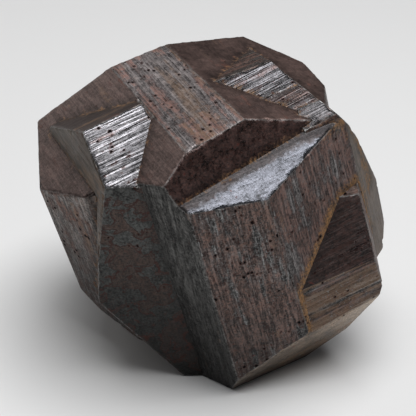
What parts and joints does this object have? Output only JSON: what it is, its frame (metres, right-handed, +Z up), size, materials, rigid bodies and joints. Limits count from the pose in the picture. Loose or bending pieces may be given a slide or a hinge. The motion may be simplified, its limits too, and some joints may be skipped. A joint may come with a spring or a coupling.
{
  "type": "pyrite crystal",
  "caption": "Dark brown pyrite iron-cross twin: a rounded block of flat, finely striped crystal faces with petals crossing at right angles.",
  "frame": {"origin": "middle of the footprint, at the height of the flat patch the crystal rests on", "axes": "+X to the right and -Y towards a viewer who faces the prow, +Z up"},
  "size_m": [0.0586, 0.0558, 0.0525],
  "materials": {
    "crystal_skin": "dark brown semi-metallic skin, striped, with ochre in the valleys"
  },
  "bodies": {
    "root": {"pyrite_crystal": "crystal_skin"}
  },
  "joints": []
}
